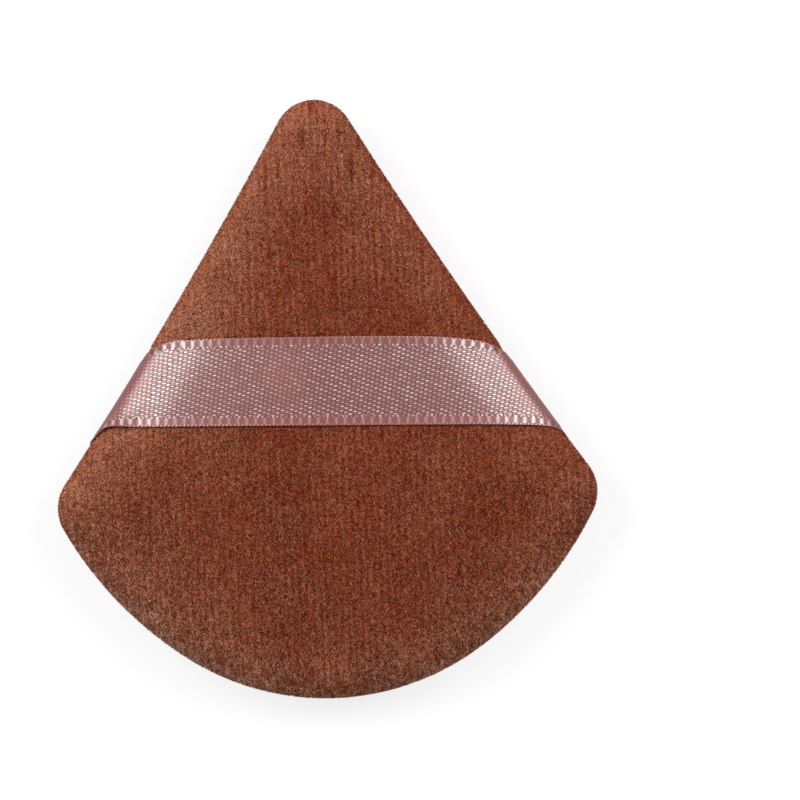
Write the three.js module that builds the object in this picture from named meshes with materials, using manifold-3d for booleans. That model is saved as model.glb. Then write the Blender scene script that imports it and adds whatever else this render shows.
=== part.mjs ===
// A rounded-triangle powder puff: two velour covers round a foam core, and a satin ribbon
// strap caught in the side seam, for the fingers to go under. Millimetres, +Z up. The puff
// lies on its back, strap up, with its apex towards +Y. The origin is on the resting plane,
// below the middle of the puff's length and width.
import * as THREE from 'three';
import { mergeVertices } from 'three/addons/utils/BufferGeometryUtils.js';
import Module from 'manifold-3d';

const wasm = await Module();
wasm.setup();

// Outline, seen from above
const length = 80.5;
const width = 72.6;
const apexRadius = 5.45;
const cornerRadius = 5.9;
const cornerHeight = 26.7; // of the widest points, above the lowest point of the base
const sideHollowRadius = 700; // the sides are drawn in a little between apex and corners
const baseRadius = 34.7; // the round middle of the base
const baseSpread = THREE.MathUtils.degToRad(34.5); // either way from the middle, before the flank

// Section, across the edge
const edgeRun = 4.9; // from the rim in to the end of the rounded edge
const edgeRise = 3.0; // from the widest level up to the top of the rounded edge
const edgeEnd = THREE.MathUtils.degToRad(75); // where the rounded edge hands over to the crown
const lipRun = 1.1; // below the widest level a cover rolls in by this much to the seam
const lipRise = 1.0; // from the seam up to the widest level
const crownRise = 2.0; // how far the middle of a face stands above its rounded edge
const crownCentreHeight = 32; // of the crown's top, above the lowest point of the base
const restFlat = 0.5; // the back is pressed flat this deep where it rests

// Velour covers
const coverThickness = 1.3; // knit backing and pile
const allowanceWidth = 3.0; // turned in at the seam, from the cover's inner wall
const allowanceThickness = 0.7;
const seamGap = 0.3; // between the two covers
const fitGap = 0.3; // between pieces that lie on each other

// Seam threads
const threadDiameter = 0.3;
const stitchLength = 6.2; // long ones: a machine sews about two in this length
const stitchInset = 2.6; // of the stitch line, from the rim
const threadHoleLength = 1.4; // along the seam
const threadHoleWidth = 0.9; // across the seam
const closingWidth = 26; // of the turning gap in the base, closed by hand

// Ribbon strap
const strapWidth = 12;
const strapThickness = 0.4;
const strapOffset = 2.5; // of the strap's middle, above the middle of the puff's length
const strapSkew = THREE.MathUtils.degToRad(-1.7); // it is sewn on a little askew
const strapTailShort = 0.3; // a strap's end stops this far short of the allowance's edge

const overrun = 1; // how far a cut runs past what it cuts

// Fineness of the facets, along the outline and across the section
const arcSteps = { base: 4, flank: 3, corner: 4, hollow: 3, apex: 4 };
const edgeSteps = 4;
const lipSteps = 2;
const innerEdgeSteps = 2;
const frontRingShares = [0.78, 0.5];
const strapMiddleSteps = 8;

// Outline: the right half is five arcs that run into each other without a corner, each between
// two bearings of its outward normal. The hollow arc's centre lies outside the puff.
const polar = (centre, radius, angle) =>
  new THREE.Vector2(centre.x + radius * Math.cos(angle), centre.y + radius * Math.sin(angle));
const bearing = (from, to) => Math.atan2(to.y - from.y, to.x - from.x);

// Where two distances from two centres meet, left of the way from the first to the second
function meetingPoint(first, firstDistance, second, secondDistance) {
  const apart = first.distanceTo(second);
  const along = (apart ** 2 + firstDistance ** 2 - secondDistance ** 2) / (2 * apart);
  return polar(first, firstDistance, bearing(first, second) + Math.acos(along / firstDistance));
}

const base = new THREE.Vector2(0, baseRadius - length / 2);
const corner = new THREE.Vector2(width / 2 - cornerRadius, cornerHeight - length / 2);
const apex = new THREE.Vector2(0, length / 2 - apexRadius);
const hollow = meetingPoint(
  apex, apexRadius + sideHollowRadius, corner, cornerRadius + sideHollowRadius);

// The flank runs on from the base's round at the spread, and its radius is the one that
// brings it round to touch the corner's round. It is negative where the flank is hollow.
const baseToFlank = baseSpread - Math.PI / 2;
const baseToCorner = corner.clone().sub(base);
const roundsApart = baseRadius - cornerRadius;
const reach = polar(new THREE.Vector2(), 1, baseToFlank).dot(baseToCorner);
const flankExcess = (roundsApart ** 2 - baseToCorner.lengthSq()) / (2 * (reach - roundsApart));
const flankRadius = baseRadius + flankExcess;
const flank = polar(base, -flankExcess, baseToFlank);
const flankToCorner = bearing(
  new THREE.Vector2(), corner.clone().sub(flank).multiplyScalar(Math.sign(flankRadius)));

// Points of one arc of the rim, each with the outward normal, without the arc's last point
function rimArc(centre, radius, from, to, steps) {
  const points = [];
  for (let step = 0; step < steps; step += 1) {
    const angle = THREE.MathUtils.lerp(from, to, step / steps);
    const normal = new THREE.Vector2(Math.cos(angle), Math.sin(angle));
    points.push({ point: centre.clone().addScaledVector(normal, radius), normal });
  }
  return points;
}

const down = -Math.PI / 2;
const cornerToHollow = bearing(corner, hollow);
const hollowToApex = bearing(apex, hollow);
const rightRim = [
  ...rimArc(base, baseRadius, down, baseToFlank, arcSteps.base),
  ...rimArc(flank, flankRadius, baseToFlank, flankToCorner, arcSteps.flank),
  ...rimArc(corner, cornerRadius, flankToCorner, cornerToHollow, arcSteps.corner),
  ...rimArc(hollow, -sideHollowRadius, cornerToHollow, hollowToApex, arcSteps.hollow),
  ...rimArc(apex, apexRadius, hollowToApex, -down, arcSteps.apex),
];
const top = { point: new THREE.Vector2(0, length / 2), normal: new THREE.Vector2(0, 1) };
const mirrored = ({ point, normal }) => ({
  point: new THREE.Vector2(-point.x, point.y),
  normal: new THREE.Vector2(-normal.x, normal.y),
});

// The whole rim, from the middle of the base up the right side and down the left one
const rim = [...rightRim, top, ...rightRim.slice(1).reverse().map(mirrored)];

// Section: places across the edge, as an inset from the rim and a height above the seam
const edgeTop = lipRise + edgeRise * Math.sin(edgeEnd);
const edgeInset = edgeRun * (1 - Math.cos(edgeEnd));
const crownTop = edgeTop + crownRise;
const seamHeight = crownTop - restFlat;
const crownCentre = new THREE.Vector2(0, crownCentreHeight - length / 2);

// One ring parallel to the rim, on the front face (side 1) or the back one (side -1)
const insetRing = (inset, height, side) => rim.map(({ point, normal }) => new THREE.Vector3(
  point.x - inset * normal.x,
  point.y - inset * normal.y,
  seamHeight + side * height,
));

// The crown's height above the seam, at a share of the way from its centre to its edge. Its
// surface can lie deeper than the cover's outside, and the back is flat where it rests.
function crownHeight(share, depth, side) {
  const height = edgeTop + crownRise * (1 - share ** 2);
  return (side < 0 ? Math.min(height, seamHeight) : height) - depth;
}

function crownRing(share, depth, side) {
  const height = side * crownHeight(share, depth, side);
  return insetRing(edgeInset, 0, side).map(({ x, y }) => new THREE.Vector3(
    THREE.MathUtils.lerp(crownCentre.x, x, share),
    THREE.MathUtils.lerp(crownCentre.y, y, share),
    seamHeight + height,
  ));
}

const crownPole = (depth, side) => new THREE.Vector3(
  crownCentre.x, crownCentre.y, seamHeight + side * crownHeight(0, depth, side));
const flatShare = Math.sqrt(restFlat / crownRise);
const backRingShares = [(1 + flatShare) / 2, flatShare];
const ringShares = (side) => (side > 0 ? frontRingShares : backRingShares);

// The rounded edge, lying deeper than the cover's outside by a depth, from the crown outwards
// to the widest level, or to a given angle above it
function edgeRings(depth, side, steps, lowest = 0) {
  const rings = [];
  for (let step = 0; step <= steps; step += 1) {
    const angle = Math.max(THREE.MathUtils.lerp(edgeEnd, 0, step / steps), lowest);
    const inset = edgeRun - (edgeRun - depth) * Math.cos(angle);
    const height = lipRise + (edgeRise - depth) * Math.sin(angle);
    rings.push(insetRing(inset, height, side));
  }
  return rings;
}

// The lip, rolling in from the widest level to the seam
function lipRings(side) {
  const rings = [];
  for (let step = 1; step <= lipSteps; step += 1) {
    const angle = (Math.PI / 2) * (step / lipSteps);
    const inset = lipRun * (1 - Math.cos(angle));
    const height = lipRise - (lipRise - seamGap / 2) * Math.sin(angle);
    rings.push(insetRing(inset, height, side));
  }
  return rings;
}

// Solids. A skin is stretched over rings of equally many points and closed by a point at each
// end, which is the middle of the last ring unless it is given.
const middleOf = (ring) => ring
  .reduce((sum, place) => sum.add(place), new THREE.Vector3())
  .divideScalar(ring.length);

function skin(rings, firstPole = middleOf(rings[0]), lastPole = middleOf(rings.at(-1))) {
  const count = rings[0].length;
  const places = [firstPole, ...rings.flat(), lastPole];
  const last = places.length - 1;
  const index = [];
  for (let point = 0; point < count; point += 1) {
    const next = (point + 1) % count;
    index.push(0, 1 + next, 1 + point);
    for (let ring = 0; ring < rings.length - 1; ring += 1) {
      const here = 1 + ring * count;
      const there = here + count;
      index.push(here + point, here + next, there + next);
      index.push(here + point, there + next, there + point);
    }
    index.push(last, last - count + point, last - count + next);
  }
  const geometry = new THREE.BufferGeometry().setFromPoints(places);
  geometry.setIndex(index);
  return facingOut(geometry);
}

// Six times the volume inside a closed mesh, negative where its faces look inwards
function signedVolume(geometry) {
  const places = geometry.attributes.position;
  const index = geometry.index.array;
  const corners = [new THREE.Vector3(), new THREE.Vector3(), new THREE.Vector3()];
  let sum = 0;
  for (let start = 0; start < index.length; start += corners.length) {
    corners.forEach((place, at) => place.fromBufferAttribute(places, index[start + at]));
    sum += corners[0].dot(corners[1].clone().cross(corners[2]));
  }
  return sum;
}

function facingOut(geometry) {
  if (signedVolume(geometry) < 0) {
    geometry.setIndex(Array.from(geometry.index.array).reverse());
  }
  geometry.computeVertexNormals();
  return geometry;
}

function toSolid(geometry) {
  const bare = geometry.clone();
  bare.deleteAttribute('normal');
  bare.deleteAttribute('uv');
  const merged = mergeVertices(bare);
  return new wasm.Manifold(new wasm.Mesh({
    numProp: 3,
    vertProperties: Float32Array.from(merged.attributes.position.array),
    triVerts: Uint32Array.from(merged.index.array),
  }));
}

function fromSolid(solid) {
  const mesh = solid.getMesh();
  const geometry = new THREE.BufferGeometry();
  geometry.setAttribute('position', new THREE.BufferAttribute(mesh.vertProperties, mesh.numProp));
  geometry.setIndex(new THREE.BufferAttribute(mesh.triVerts, 1));
  geometry.computeVertexNormals();
  return geometry;
}

const without = (geometry, cutters) => fromSolid(
  cutters.reduce((solid, cutter) => solid.subtract(toSolid(cutter)), toSolid(geometry)));

// Covers and core
const allowanceInset = coverThickness + allowanceWidth;

function cover(side) {
  const allowanceTop = seamGap / 2 + allowanceThickness;
  return skin([
    ...[...ringShares(side)].reverse().map((share) => crownRing(share, 0, side)),
    ...edgeRings(0, side, edgeSteps),
    ...lipRings(side),
    insetRing(allowanceInset, seamGap / 2, side),
    insetRing(allowanceInset, allowanceTop, side),
    insetRing(coverThickness, allowanceTop, side),
    ...edgeRings(coverThickness, side, innerEdgeSteps).reverse(),
    ...ringShares(side).map((share) => crownRing(share, coverThickness, side)),
  ], crownPole(0, side), crownPole(coverThickness, side));
}

// The core clears the allowances and the threads on them by a groove round its edge
const threadLevel = seamGap / 2 + allowanceThickness + fitGap + threadDiameter / 2;
const grooveTop = threadLevel + threadDiameter / 2 + fitGap;
const grooveInset = allowanceInset + fitGap;

function core() {
  const depth = coverThickness + fitGap;
  const lowest = Math.asin((grooveTop - lipRise) / (edgeRise - depth));
  const half = (side) => [
    ...[...ringShares(side)].reverse().map((share) => crownRing(share, depth, side)),
    ...edgeRings(depth, side, innerEdgeSteps, lowest),
    insetRing(grooveInset, grooveTop, side),
  ];
  return skin([...half(1), ...half(-1).reverse()], crownPole(depth, 1), crownPole(depth, -1));
}

// Stitch line round the puff, from the middle of the base
const stitchLine = new THREE.CurvePath();
insetRing(stitchInset, 0, 1).forEach((place, at, ring) => {
  stitchLine.add(new THREE.LineCurve3(place, ring[(at + 1) % ring.length]));
});
const seamLength = stitchLine.getLength();
const stitchCount = Math.round(seamLength / stitchLength);
const stitchStep = seamLength / stitchCount;
const stitches = Array.from({ length: stitchCount }, (_, at) => (at + 0.5) * stitchStep);
const isClosing = (distance) =>
  Math.min(distance, seamLength - distance) < closingWidth / 2;
const seamStitches = stitches.filter((distance) => !isClosing(distance));
const closingStitches = [
  ...stitches.filter((distance) => isClosing(distance) && distance > seamLength / 2),
  ...stitches.filter((distance) => isClosing(distance) && distance < seamLength / 2),
];

// A place on the stitch line, above the seam by a height
function onStitchLine(distance, height) {
  const place = stitchLine.getPointAt(THREE.MathUtils.euclideanModulo(distance / seamLength, 1));
  return place.setZ(seamHeight + height);
}

function threadHole(distance) {
  const hole = new THREE.BoxGeometry(
    threadHoleLength, threadHoleWidth, 2 * (threadLevel + overrun));
  const before = onStitchLine(distance - stitchStep / 2, 0);
  const after = onStitchLine(distance + stitchStep / 2, 0);
  hole.rotateZ(bearing(before, after));
  const place = onStitchLine(distance, 0);
  hole.translate(place.x, place.y, place.z);
  return hole;
}

// A route that goes through its points, one step each
class Route extends THREE.Curve {
  constructor(points) {
    super();
    this.points = points;
  }

  getPoint(share) {
    const along = share * (this.points.length - 1);
    const from = Math.min(Math.floor(along), this.points.length - 2);
    return this.points[from].clone().lerp(this.points[from + 1], along - from);
  }

  getPointAt(share) {
    return this.getPoint(share);
  }

  getTangentAt(share) {
    const at = Math.round(share * (this.points.length - 1));
    const before = this.points[Math.max(at - 1, 0)];
    const after = this.points[Math.min(at + 1, this.points.length - 1)];
    return after.clone().sub(before).normalize();
  }
}

function thread(points) {
  const section = new THREE.Shape();
  section.absarc(0, 0, threadDiameter / 2, 0, 2 * Math.PI);
  const tube = new THREE.ExtrudeGeometry(section, {
    steps: points.length - 1,
    curveSegments: 2,
    bevelEnabled: false,
    extrudePath: new Route(points),
  });
  tube.deleteAttribute('normal');
  tube.deleteAttribute('uv');
  return facingOut(mergeVertices(tube));
}

// Needle thread (side 1) or bobbin thread (side -1): it lies on its own allowance and dips
// into each hole as far as the other thread, which comes from the other side to meet it
const dipRun = threadHoleLength / 2 - threadDiameter;
const dipLevel = (fitGap + threadDiameter) / 2;

const lockstitchThread = (side) => thread(seamStitches.flatMap((distance) => [
  onStitchLine(distance - dipRun, side * threadLevel),
  onStitchLine(distance, side * dipLevel),
  onStitchLine(distance + dipRun, side * threadLevel),
]));

// Closing thread: a running stitch, down through one hole and up through the next
const closingThread = () => thread(closingStitches.flatMap((distance, at) => {
  const side = at % 2 === 0 ? 1 : -1;
  return [onStitchLine(distance, side * threadLevel), onStitchLine(distance, -side * threadLevel)];
}));

// Strap. It is a flat ribbon laid over the front face. Where it goes over the rounded side it
// stays straight in its own plane, so it turns down along the slanting rim as it goes round.
const strapDirection = new THREE.Vector2(Math.cos(strapSkew), Math.sin(strapSkew));
const strapAcross = new THREE.Vector2(-strapDirection.y, strapDirection.x);
const strapCentre = new THREE.Vector2(0, strapOffset);
const strapLevel = fitGap + strapThickness / 2; // of the ribbon's middle, above the cover

// A ribbon's section across the side of the puff: insets and heights of a surface that lies a
// level above the cover, from the crown's edge down round the side and in to the seam
function sideSection(level, tailInset) {
  const places = [];
  for (let step = 0; step <= edgeSteps; step += 1) {
    const angle = THREE.MathUtils.lerp(edgeEnd, 0, step / edgeSteps);
    places.push({
      inset: edgeRun - (edgeRun + level) * Math.cos(angle),
      height: lipRise + (edgeRise + level) * Math.sin(angle),
    });
  }
  for (let step = 1; step <= lipSteps; step += 1) {
    const angle = (Math.PI / 2) * (step / lipSteps);
    places.push({
      inset: lipRun - (lipRun + level) * Math.cos(angle),
      height: lipRise - (lipRise + level - strapLevel) * Math.sin(angle),
    });
  }
  places.push({ inset: tailInset, height: strapLevel - level });
  return places;
}

// How far each place of the ribbon's middle is from the crown's edge, along the ribbon
function runs(section) {
  let run = 0;
  return section.map((place, at) => {
    const before = section[Math.max(at - 1, 0)];
    run += Math.hypot(place.inset - before.inset, place.height - before.height);
    return run;
  });
}

// The distance along the ribbon at which a line of it, at a place across, has gone a run past
// the crown's edge on one side of the puff
function distanceAtRun(across, run, side) {
  const start = strapCentre.clone().addScaledVector(strapAcross, across);
  const centre = new THREE.Vector2(side * hollow.x, hollow.y);
  const toCentre = centre.clone().sub(start);
  const ahead = side * toCentre.dot(strapDirection);
  const radius = sideHollowRadius + edgeInset - run;
  return side * (ahead - Math.sqrt(ahead ** 2 - toCentre.lengthSq() + radius ** 2));
}

const strapPoint = (along, across) => strapCentre.clone()
  .addScaledVector(strapDirection, along)
  .addScaledVector(strapAcross, across);

// A place on the side of the puff, where a line of the ribbon has gone a run past the crown
function sidePoint(across, run, { inset, height }, side) {
  const flat = strapPoint(distanceAtRun(across, run, side), across);
  const centre = new THREE.Vector2(side * hollow.x, hollow.y);
  const place = polar(centre, sideHollowRadius + inset, bearing(centre, flat));
  return new THREE.Vector3(place.x, place.y, seamHeight + height);
}

const tailEnd = allowanceInset - strapTailShort;
const middleSection = sideSection(strapLevel, tailEnd);
const middleRuns = runs(middleSection);
const tailStart = middleSection.length - 2;

// A stretch of ribbon on one side of the puff, between two places of its section, grown
// on every face by a margin
function sideStretch(side, first, last, margin = 0, lengthen = 0) {
  const outer = sideSection(strapLevel + strapThickness / 2 + margin, tailEnd + lengthen);
  const inner = sideSection(strapLevel - strapThickness / 2 - margin, tailEnd + lengthen);
  const edge = strapWidth / 2 + margin;
  const rings = [];
  for (let at = first; at <= last; at += 1) {
    const run = middleRuns[at];
    rings.push([
      sidePoint(-edge, run, outer[at], side),
      sidePoint(edge, run, outer[at], side),
      sidePoint(edge, run, inner[at], side),
      sidePoint(-edge, run, inner[at], side),
    ]);
  }
  return skin(rings);
}

// The share of the way from the crown's centre to its edge at which a place lies
function crownShare(place) {
  const edge = insetRing(edgeInset, 0, 1);
  const from = place.clone().sub(crownCentre);
  for (let at = 0; at < edge.length; at += 1) {
    const here = new THREE.Vector2(edge[at].x, edge[at].y).sub(crownCentre);
    const next = edge[(at + 1) % edge.length];
    const there = new THREE.Vector2(next.x, next.y).sub(crownCentre);
    const area = here.cross(there);
    const hereShare = from.cross(there) / area;
    const thereShare = here.cross(from) / area;
    if (hereShare >= 0 && thereShare >= 0) return hereShare + thereShare;
  }
  return 0;
}

// The stretch of ribbon that lies on the crown, between the two side stretches
function middleStretch() {
  const rings = [];
  for (let step = 0; step <= strapMiddleSteps; step += 1) {
    const row = [-strapWidth / 2, 0, strapWidth / 2].map((across) => {
      const left = distanceAtRun(across, -fitGap, -1);
      const right = distanceAtRun(across, -fitGap, 1);
      const place = strapPoint(THREE.MathUtils.lerp(left, right, step / strapMiddleSteps), across);
      const cover = seamHeight + crownHeight(crownShare(place), 0, 1);
      return new THREE.Vector3(place.x, place.y, cover);
    });
    const raised = (height) => row.map((place) => place.clone().setZ(place.z + height));
    rings.push([...raised(fitGap), ...raised(fitGap + strapThickness).reverse()]);
  }
  return skin(rings);
}

// Materials, one for each piece
const velour = (color) => new THREE.MeshStandardMaterial({ color, roughness: 0.95, metalness: 0 });
const foam = () => new THREE.MeshStandardMaterial({ color: '#f0e8d8', roughness: 0.9, metalness: 0 });
const satin = () => new THREE.MeshStandardMaterial({ color: '#b08a8a', roughness: 0.4, metalness: 0 });
const cotton = () => new THREE.MeshStandardMaterial({ color: '#6b3a28', roughness: 0.8, metalness: 0 });

const puff = new THREE.Group();

function add(name, geometry, material) {
  const mesh = new THREE.Mesh(geometry, material);
  mesh.name = name;
  puff.add(mesh);
}

const holes = stitches.map(threadHole);
const sides = { left: -1, right: 1 };
const pockets = Object.values(sides).map((side) =>
  sideStretch(side, edgeSteps + 1, middleSection.length - 1, fitGap, overrun));

add('front_cover', without(cover(1), [...holes, ...pockets]), velour('#84482f'));
add('back_cover', without(cover(-1), [...holes, ...pockets]), velour('#8f6048'));
add('foam_core', core(), foam());
add('seam_needle_thread', lockstitchThread(1), cotton());
add('seam_bobbin_thread', lockstitchThread(-1), cotton());
add('closing_thread', closingThread(), cotton());
add('strap_middle', middleStretch(), satin());
Object.entries(sides).forEach(([name, side]) => {
  add(`strap_${name}_side`, sideStretch(side, 0, tailStart), satin());
  const tail = sideStretch(side, tailStart, middleSection.length - 1);
  add(`strap_${name}_tail`, without(tail, holes), satin());
});

export default puff;
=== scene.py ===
import math

import bpy
import numpy as np
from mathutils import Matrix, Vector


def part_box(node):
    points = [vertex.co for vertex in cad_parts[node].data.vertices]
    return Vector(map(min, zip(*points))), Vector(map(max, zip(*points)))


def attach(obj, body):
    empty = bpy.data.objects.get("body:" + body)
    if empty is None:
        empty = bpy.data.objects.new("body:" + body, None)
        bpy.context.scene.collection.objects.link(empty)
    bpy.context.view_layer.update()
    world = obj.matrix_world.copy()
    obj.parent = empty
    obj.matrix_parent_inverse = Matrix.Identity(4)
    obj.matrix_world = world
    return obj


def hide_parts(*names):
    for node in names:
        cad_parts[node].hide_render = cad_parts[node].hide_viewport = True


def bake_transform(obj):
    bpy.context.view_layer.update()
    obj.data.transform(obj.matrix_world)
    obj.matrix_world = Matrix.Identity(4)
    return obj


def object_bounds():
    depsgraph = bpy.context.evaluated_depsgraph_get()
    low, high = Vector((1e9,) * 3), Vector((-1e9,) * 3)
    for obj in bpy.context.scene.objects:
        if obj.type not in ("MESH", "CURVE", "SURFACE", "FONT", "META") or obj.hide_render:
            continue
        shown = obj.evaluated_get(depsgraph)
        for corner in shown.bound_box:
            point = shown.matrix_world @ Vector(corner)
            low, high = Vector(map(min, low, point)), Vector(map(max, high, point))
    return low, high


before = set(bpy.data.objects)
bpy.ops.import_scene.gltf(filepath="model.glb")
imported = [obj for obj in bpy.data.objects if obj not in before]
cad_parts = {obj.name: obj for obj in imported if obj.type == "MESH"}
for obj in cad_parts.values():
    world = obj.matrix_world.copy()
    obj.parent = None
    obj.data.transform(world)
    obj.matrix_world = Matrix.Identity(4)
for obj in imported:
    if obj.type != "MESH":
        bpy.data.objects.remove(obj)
cad_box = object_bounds()
mm = 0.001  # metres, in which every length is given

# Camera. It looks straight down on the puff, which lies left of the picture's middle and
# turned a little to the left. The lens is long, as the picture shows hardly any perspective.
picture_side = 800  # pixels
pixel = 0.1345 * mm  # at the level of the rim
puff_column, puff_row = 323.97, 398.96  # pixels, of the middle of the puff's outline
puff_turn = math.radians(2.173)

camera_data = bpy.data.cameras.new("camera")
camera_data.sensor_width = 36
camera_data.lens = 200
camera = bpy.data.objects.new("camera", camera_data)
bpy.context.scene.collection.objects.link(camera)
bpy.context.scene.camera = camera

seam_level = (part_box("front_cover")[0].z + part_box("back_cover")[1].z) / 2
aim_right = (picture_side / 2 - puff_column) * pixel
aim_up = (puff_row - picture_side / 2) * pixel
camera.location = (
    aim_right * math.cos(puff_turn) + aim_up * math.sin(puff_turn),
    aim_up * math.cos(puff_turn) - aim_right * math.sin(puff_turn),
    seam_level + picture_side * pixel * camera_data.lens / camera_data.sensor_width,
)
camera.rotation_euler = (0, 0, -puff_turn)

# Foam core. A pad of open-cell polyurethane foam, die-cut to the puff's rounded triangle and
# tumbled soft at its edges. It lies loose between the covers and gives the puff its crown.
puff_length = cad_box[1].y - cad_box[0].y
puff_width = 72.6 * mm
apex_radius = 5.45 * mm
corner_radius = 5.9 * mm  # of the rounds at both ends of the base
corner_height = 26.7 * mm  # of the widest points, above the lowest point of the base
hollow_radius = 700 * mm  # the sides are drawn in a little between apex and corners
base_radius = 34.7 * mm
base_spread = math.radians(34.5)  # either way from the middle of the base

edge_run = 4.9 * mm  # from the rim in to the top of the rounded edge
edge_rise = 3.0 * mm  # of the rounded edge, above the rim's widest level
edge_end = math.radians(75)  # where the rounded edge hands over to the crown
lip_run = 1.1 * mm  # from the rim in to where the covers meet in the seam
lip_rise = 1.0 * mm  # of the rim's widest level, above the seam
crown_rise = 2.0 * mm
crown_height = 32 * mm  # of the crown's middle, above the lowest point of the base
crown_centre = np.array([0, crown_height - puff_length / 2])

cover_thickness = 1.3 * mm
fit_gap = 0.3 * mm


def direction(angle):
    """Unit vectors at angles from +X."""
    return np.stack([np.cos(angle), np.sin(angle)], axis=-1)


def bearing(vector):
    """The angle of a vector from +X."""
    return math.atan2(vector[1], vector[0])


def meeting_point(first, first_distance, second, second_distance):
    """Where two distances from two centres meet, left of the way between the centres."""
    apart = math.dist(first, second)
    along = (apart**2 + first_distance**2 - second_distance**2) / (2 * apart)
    turn = math.acos(along / first_distance)
    return first + first_distance * direction(bearing(second - first) + turn)


# The right half of the rim is five arcs that run into each other without a corner. The
# flank's radius is the one that brings it round to touch the corner's round.
base = np.array([0, base_radius - puff_length / 2])
corner = np.array([puff_width / 2 - corner_radius, corner_height - puff_length / 2])
apex = np.array([0, puff_length / 2 - apex_radius])
hollow = meeting_point(
    apex, apex_radius + hollow_radius, corner, corner_radius + hollow_radius)
base_end = base_spread - math.pi / 2
rounds_apart = base_radius - corner_radius
reach = direction(base_end) @ (corner - base)
flank_excess = (rounds_apart**2 - (corner - base) @ (corner - base)) / (
    2 * (reach - rounds_apart))
flank = base - flank_excess * direction(base_end)
flank_end = bearing(corner - flank)
corner_end = bearing(hollow - corner)
hollow_end = bearing(hollow - apex)
rim_arcs = [  # centre, radius, and the bearings of the outward normal at both ends
    (base, base_radius, -math.pi / 2, base_end),
    (flank, base_radius + flank_excess, base_end, flank_end),
    (corner, corner_radius, flank_end, corner_end),
    (hollow, -hollow_radius, corner_end, hollow_end),
    (apex, apex_radius, hollow_end, math.pi / 2),
]
arc_lengths = [abs(radius * (end - start)) for _, radius, start, end in rim_arcs]
half_rim = sum(arc_lengths)


def rim(shares):
    """Places on the rim and their outward normals, at shares of the way round the puff."""
    around = np.mod(shares, 1) * 2 * half_rim
    left = around > half_rim
    along = np.where(left, 2 * half_rim - around, around)
    places = np.zeros((len(along), 2))
    normals = np.zeros((len(along), 2))
    begun = 0
    for (centre, radius, start, end), arc_length in zip(rim_arcs, arc_lengths):
        here = along >= begun
        angle = start + (end - start) * (along[here] - begun) / arc_length
        normals[here] = direction(angle)
        places[here] = centre + radius * normals[here]
        begun += arc_length
    places[left, 0] *= -1
    normals[left, 0] *= -1
    return places, normals


# The section from the middle of a face out to the seam, at a depth below the cover's outside.
# A place on it has a share of the way out over the crown, an inset from the rim and a height
# above the seam.
edge_inset = edge_run * (1 - math.cos(edge_end))
edge_top = lip_rise + edge_rise * math.sin(edge_end)


def crown_section(shares, depth):
    """Section places over the crown, from its middle, at share 0, to its edge, at 1."""
    heights = edge_top + crown_rise * (1 - shares**2) - depth
    return np.column_stack([shares, np.full_like(shares, edge_inset), heights])


def edge_section(angles, depth):
    """Section places round the edge, from edge_end at the crown to 0 at the widest level."""
    insets = edge_run - (edge_run - depth) * np.cos(angles)
    heights = lip_rise + (edge_rise - depth) * np.sin(angles)
    return np.column_stack([np.ones_like(angles), insets, heights])


def surface(around, section, side):
    """Places over a face, side 1 the front and -1 the back, at shares round the rim."""
    places, normals = rim(around)
    share, inset, height = section.T
    out = places - inset[:, None] * normals
    flat = crown_centre + share[:, None] * (out - crown_centre)
    return np.column_stack([flat, seam_level + side * height])


def ring_grid(rings):
    """A square grid bent into rings: each place's ring, its share of the way round, and faces."""
    steps = np.arange(-rings, rings + 1)
    across, up = (grid.ravel() for grid in np.meshgrid(steps, steps, indexing="ij"))
    ring = np.maximum(abs(across), abs(up))
    way = np.select(
        [up == -ring, across == ring, up == ring],
        [across, up + 2 * ring, 4 * ring - across],
        6 * ring - up,
    )
    around = np.mod(way, 8 * np.maximum(ring, 1)) / (8 * np.maximum(ring, 1))
    corners = np.arange(len(steps) ** 2).reshape(len(steps), -1)
    faces = np.stack(
        [corners[:-1, :-1], corners[1:, :-1], corners[1:, 1:], corners[:-1, 1:]], axis=-1)
    return ring, around, faces.reshape(-1, 4)


def mesh_piece(name, places, face_groups):
    """A mesh object from an array of places and arrays of faces, each with equally many corners."""
    mesh = bpy.data.meshes.new(name)
    mesh.vertices.add(len(places))
    mesh.vertices.foreach_set("co", np.asarray(places, np.float32).ravel())
    corners = np.concatenate([group.ravel() for group in face_groups])
    sizes = np.concatenate([np.full(len(group), group.shape[1]) for group in face_groups])
    mesh.loops.add(len(corners))
    mesh.loops.foreach_set("vertex_index", corners.astype(np.int32))
    mesh.polygons.add(len(sizes))
    mesh.polygons.foreach_set("loop_start", (np.cumsum(sizes) - sizes).astype(np.int32))
    mesh.update(calc_edges=True)
    mesh.validate()
    piece = bpy.data.objects.new(name, mesh)
    bpy.context.scene.collection.objects.link(piece)
    return piece


def closed_skin(rings, side, outside, loops, middle):
    """Places and faces of a closed skin: a ring grid outside, then loops round, then a middle."""
    ring, around, quads = ring_grid(rings)
    places = surface(around, outside[ring], side)
    last = np.flatnonzero(ring == rings)
    loop = last[np.argsort(around[last])]
    loop_shares = around[loop]
    bands = []
    for section in loops:
        begin = len(places)
        repeated = np.repeat(section[None, :], len(loop), axis=0)
        places = np.vstack([places, surface(loop_shares, repeated, side)])
        further = begin + np.arange(len(loop))
        bands.append(np.column_stack([np.roll(loop, -1), loop, further, np.roll(further, -1)]))
        loop = further
    places = np.vstack([places, middle])
    hub = np.full(len(loop), len(places) - 1)
    fan = np.column_stack([np.roll(loop, -1), loop, hub])
    groups = [np.vstack([quads, *bands]), fan]
    if side < 0:
        groups = [group[:, ::-1] for group in groups]
    return places, groups


def smooth(piece):
    """Shades a piece as a smooth surface."""
    piece.data.polygons.foreach_set("use_smooth", np.ones(len(piece.data.polygons), bool))
    return piece


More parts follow.
